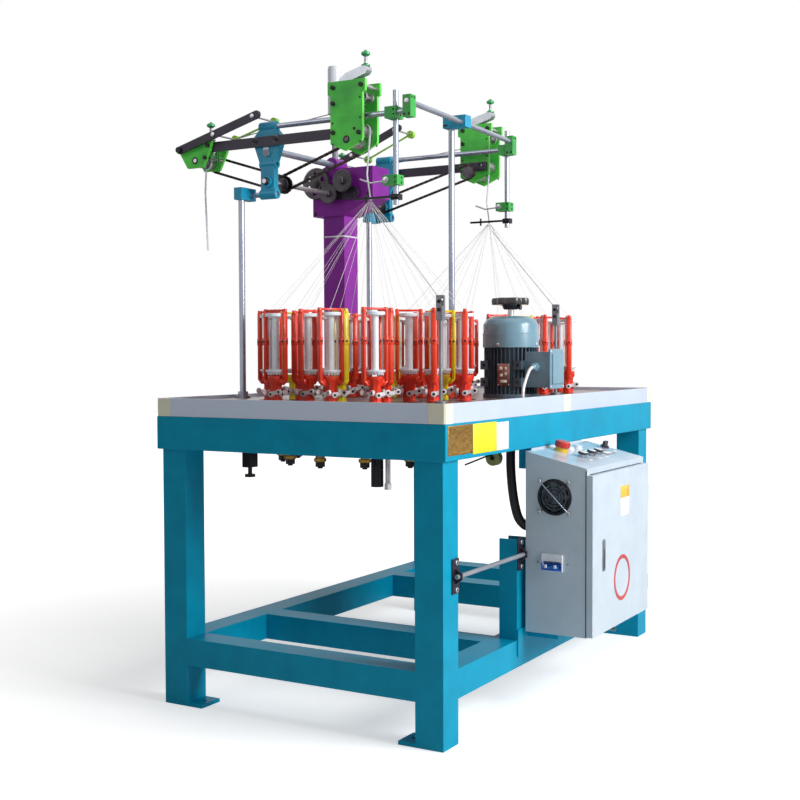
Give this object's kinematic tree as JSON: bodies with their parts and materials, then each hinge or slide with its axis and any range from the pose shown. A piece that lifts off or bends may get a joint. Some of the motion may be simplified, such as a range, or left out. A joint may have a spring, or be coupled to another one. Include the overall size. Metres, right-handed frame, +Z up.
{
  "type": "ribbon braiding machine",
  "caption": "Free-standing braiding machine: braiding heads with bobbin carriers on a table, overhead take-up rollers on chain-driven shafts, motor, and control cabinet at the side.",
  "frame": {"origin": "on the floor, midway between the four anchor holes of the foot plates", "axes": "+Z up; +Y along the long side, away from the short front side; +X toward the control cabinet"},
  "size_m": [1.3088, 1.52, 1.924],
  "materials": {
    "frame_paint": "satin teal enamel",
    "plate_steel": "ground plate",
    "bed_steel": "ground and oiled",
    "rim_metal": "light grey sheet",
    "horn_steel": "machined",
    "carrier_plastic": "moulded, red-orange",
    "bobbin_plastic": "moulded, white",
    "yarn": "filament yarn",
    "column_paint": "dark purple enamel",
    "gearbox_paint": "purple enamel",
    "lamp_plastic": "frosted",
    "bright_steel": "bright drawn",
    "bracket_paint": "blue enamel",
    "black_steel": "black oxide",
    "clamp_paint": "green enamel",
    "chain_steel": "dark oiled",
    "takeup_paint": "green enamel",
    "motor_paint": "blue-grey enamel",
    "white_sheath": "PVC sheath",
    "hose_rubber": "smooth sleeve",
    "cabinet_paint": "grey enamel",
    "collar_plastic": "moulded",
    "breaker_plastic": "moulded",
    "fan_black": "moulded frame, chrome wires",
    "wheel_black": "gloss black",
    "gear_steel": "machined, oiled",
    "roller_steel": "fluted",
    "lever_metal": "cast and machined",
    "door_paint": "light grey enamel",
    "stop_red": "moulded, red",
    "green_cap": "moulded, green",
    "red_cap": "moulded, red",
    "grey_cap": "moulded, grey",
    "knob_black": "moulded",
    "toggle_blue": "moulded, blue"
  },
  "bodies": {
    "machine": {"leg_frame": "frame_paint", "table_band": "frame_paint", "base_plate": "plate_steel", "bed_plate": "bed_steel", "rim": "rim_metal", "horn_gears": "horn_steel", "carriers": "carrier_plastic", "bobbins": "bobbin_plastic", "yarns": "yarn", "column": "column_paint", "gearbox": "gearbox_paint", "status_lamp": "lamp_plastic", "arm_tubes": "bright_steel", "arm_brackets": "bracket_paint", "flat_bars": "black_steel", "clamp_blocks": "clamp_paint", "forming_guides": "black_steel", "chains": "chain_steel", "top_frames": "takeup_paint", "end_frames": "takeup_paint", "motor_body": "motor_paint", "motor_cowl": "motor_paint", "terminal_box": "motor_paint", "motor_lead": "white_sheath", "conduit_hose": "hose_rubber", "cabinet_shell": "cabinet_paint", "panel_collars": "collar_plastic", "breaker": "breaker_plastic", "fan_guard": "fan_black", "brace": "frame_paint", "feeler_stands": "bright_steel", "under_units": "black_steel"},
    "motor_rotor": {"motor_rotor": "wheel_black"},
    "drive_shaft": {"drive_shaft": "bright_steel"},
    "change_gear_drive": {"change_gear_drive": "gear_steel"},
    "front_line_shaft": {"front_line_shaft": "gear_steel"},
    "change_gear_large": {"change_gear_large": "gear_steel"},
    "rear_line_shaft": {"rear_line_shaft": "gear_steel"},
    "front_top_roller": {"front_top_roller": "roller_steel"},
    "front_top_nip": {"front_top_nip": "roller_steel"},
    "front_end_roller": {"front_end_roller": "roller_steel"},
    "rear_top_roller": {"rear_top_roller": "roller_steel"},
    "rear_top_nip": {"rear_top_nip": "roller_steel"},
    "rear_end_roller": {"rear_end_roller": "roller_steel"},
    "front_top_lever": {"front_top_lever": "lever_metal"},
    "front_end_lever": {"front_end_lever": "lever_metal"},
    "front_swing_arm": {"front_swing_arm": "black_steel"},
    "rear_top_lever": {"rear_top_lever": "lever_metal"},
    "rear_end_lever": {"rear_end_lever": "lever_metal"},
    "rear_swing_arm": {"rear_swing_arm": "black_steel"},
    "cabinet_door": {"cabinet_door": "door_paint"},
    "emergency_stop": {"emergency_stop": "stop_red"},
    "start_button": {"start_button": "green_cap"},
    "halt_button": {"halt_button": "red_cap"},
    "jog_button": {"jog_button": "grey_cap"},
    "selector_knob": {"selector_knob": "knob_black"},
    "breaker_toggle": {"breaker_toggle": "toggle_blue"},
    "fan_rotor": {"fan_rotor": "fan_black"},
    "front_feeler": {"front_feeler": "bright_steel"},
    "rear_feeler": {"rear_feeler": "bright_steel"}
  },
  "joints": [
    {"name": "motor_spin", "type": "hinge", "parent": "machine", "child": "motor_rotor", "pos_m": [0.297, -0.045, 1], "axis": [0, 0, 1], "continuous": true},
    {"name": "drive_spin", "type": "hinge", "parent": "machine", "child": "drive_shaft", "pos_m": [-0.335, 0, 1.2], "axis": [0, 0, 1], "continuous": true},
    {"name": "change_drive_spin", "type": "hinge", "parent": "machine", "child": "change_gear_drive", "pos_m": [-0.27635, -0.075, 1.53157], "axis": [0, 1, 0], "continuous": true},
    {"name": "front_line_spin", "type": "hinge", "parent": "machine", "child": "front_line_shaft", "pos_m": [-0.33, -0.2, 1.494], "axis": [0, 1, 0], "continuous": true},
    {"name": "change_large_spin", "type": "hinge", "parent": "machine", "child": "change_gear_large", "pos_m": [-0.38368, -0.068, 1.53021], "axis": [0, 1, 0], "continuous": true},
    {"name": "rear_line_spin", "type": "hinge", "parent": "machine", "child": "rear_line_shaft", "pos_m": [-0.375, 0.2, 1.494], "axis": [0, 1, 0], "continuous": true},
    {"name": "front_top_roller_spin", "type": "hinge", "parent": "machine", "child": "front_top_roller", "pos_m": [-0.038, -0.381, 1.59], "axis": [0, 1, 0], "continuous": true},
    {"name": "front_top_nip_spin", "type": "hinge", "parent": "machine", "child": "front_top_nip", "pos_m": [-0.012, -0.381, 1.61812], "axis": [0, 1, 0], "continuous": true},
    {"name": "front_end_roller_spin", "type": "hinge", "parent": "machine", "child": "front_end_roller", "pos_m": [-0.588, -0.381, 1.574], "axis": [0, 1, 0], "continuous": true},
    {"name": "rear_top_roller_spin", "type": "hinge", "parent": "machine", "child": "rear_top_roller", "pos_m": [-0.034, 0.416, 1.59], "axis": [0, 1, 0], "continuous": true},
    {"name": "rear_top_nip_spin", "type": "hinge", "parent": "machine", "child": "rear_top_nip", "pos_m": [-0.008, 0.416, 1.61812], "axis": [0, 1, 0], "continuous": true},
    {"name": "rear_end_roller_spin", "type": "hinge", "parent": "machine", "child": "rear_end_roller", "pos_m": [-0.56, 0.316, 1.574], "axis": [0, 1, 0], "continuous": true},
    {"name": "front_top_lever_tilt", "type": "hinge", "parent": "machine", "child": "front_top_lever", "pos_m": [-0.082, -0.381, 1.739], "axis": [0, -1, 0], "range_deg": [0, 10]},
    {"name": "front_end_lever_tilt", "type": "hinge", "parent": "machine", "child": "front_end_lever", "pos_m": [-0.612, -0.381, 1.612], "axis": [0, -1, 0], "range_deg": [0, 10]},
    {"name": "front_swing", "type": "hinge", "parent": "machine", "child": "front_swing_arm", "pos_m": [-0.638, -0.438, 1.608], "axis": [0, -1, 0], "range_deg": [0, 25]},
    {"name": "rear_top_lever_tilt", "type": "hinge", "parent": "machine", "child": "rear_top_lever", "pos_m": [-0.078, 0.416, 1.739], "axis": [0, -1, 0], "range_deg": [0, 10]},
    {"name": "rear_end_lever_tilt", "type": "hinge", "parent": "machine", "child": "rear_end_lever", "pos_m": [-0.584, 0.316, 1.612], "axis": [0, -1, 0], "range_deg": [0, 10]},
    {"name": "rear_swing", "type": "hinge", "parent": "machine", "child": "rear_swing_arm", "pos_m": [-0.61, 0.259, 1.608], "axis": [0, -1, 0], "range_deg": [0, 25]},
    {"name": "door_swing", "type": "hinge", "parent": "machine", "child": "cabinet_door", "pos_m": [0.651, 0.16, 0.45], "axis": [0, 0, 1], "range_deg": [0, 105]},
    {"name": "stop_press", "type": "slide", "parent": "machine", "child": "emergency_stop", "axis": [-0.2272, 0, -0.9738], "range_m": [0, 0.005], "stiffness_N_per_m": 800},
    {"name": "start_press", "type": "slide", "parent": "machine", "child": "start_button", "axis": [-0.2272, 0, -0.9738], "range_m": [0, 0.003], "stiffness_N_per_m": 600},
    {"name": "halt_press", "type": "slide", "parent": "machine", "child": "halt_button", "axis": [-0.2272, 0, -0.9738], "range_m": [0, 0.003], "stiffness_N_per_m": 600},
    {"name": "jog_press", "type": "slide", "parent": "machine", "child": "jog_button", "axis": [-0.2272, 0, -0.9738], "range_m": [0, 0.003], "stiffness_N_per_m": 600},
    {"name": "selector_turn", "type": "hinge", "parent": "machine", "child": "selector_knob", "pos_m": [0.53483, 0.11, 0.70352], "axis": [0.2272, 0, 0.9738], "range_deg": [-45, 45]},
    {"name": "breaker_flip", "type": "hinge", "parent": "machine", "child": "breaker_toggle", "pos_m": [0.54, -0.289, 0.403], "axis": [-1, 0, 0], "range_deg": [0, 38]},
    {"name": "fan_spin", "type": "hinge", "parent": "machine", "child": "fan_rotor", "pos_m": [0.545, -0.283, 0.59], "axis": [0, 1, 0], "continuous": true},
    {"name": "front_feeler_tilt", "type": "hinge", "parent": "machine", "child": "front_feeler", "pos_m": [0.337, -0.56, 1.122], "axis": [0.454, 0.891, 0], "range_deg": [0, 6]},
    {"name": "rear_feeler_tilt", "type": "hinge", "parent": "machine", "child": "rear_feeler", "pos_m": [0.337, 0.2, 1.122], "axis": [0.454, 0.891, 0], "range_deg": [0, 6]}
  ],
  "couplings": [
    {"joint": "drive_spin", "follows": "motor_spin", "ratio": 0.2},
    {"joint": "change_drive_spin", "follows": "motor_spin", "ratio": 0.1},
    {"joint": "front_line_spin", "follows": "motor_spin", "ratio": -0.1122},
    {"joint": "change_large_spin", "follows": "motor_spin", "ratio": 0.033999},
    {"joint": "rear_line_spin", "follows": "motor_spin", "ratio": -0.1122},
    {"joint": "front_top_roller_spin", "follows": "motor_spin", "ratio": -0.1122},
    {"joint": "front_top_nip_spin", "follows": "motor_spin", "ratio": 0.11976},
    {"joint": "front_end_roller_spin", "follows": "motor_spin", "ratio": -0.1122},
    {"joint": "rear_top_roller_spin", "follows": "motor_spin", "ratio": -0.1122},
    {"joint": "rear_top_nip_spin", "follows": "motor_spin", "ratio": 0.11976},
    {"joint": "rear_end_roller_spin", "follows": "motor_spin", "ratio": -0.1122}
  ]
}
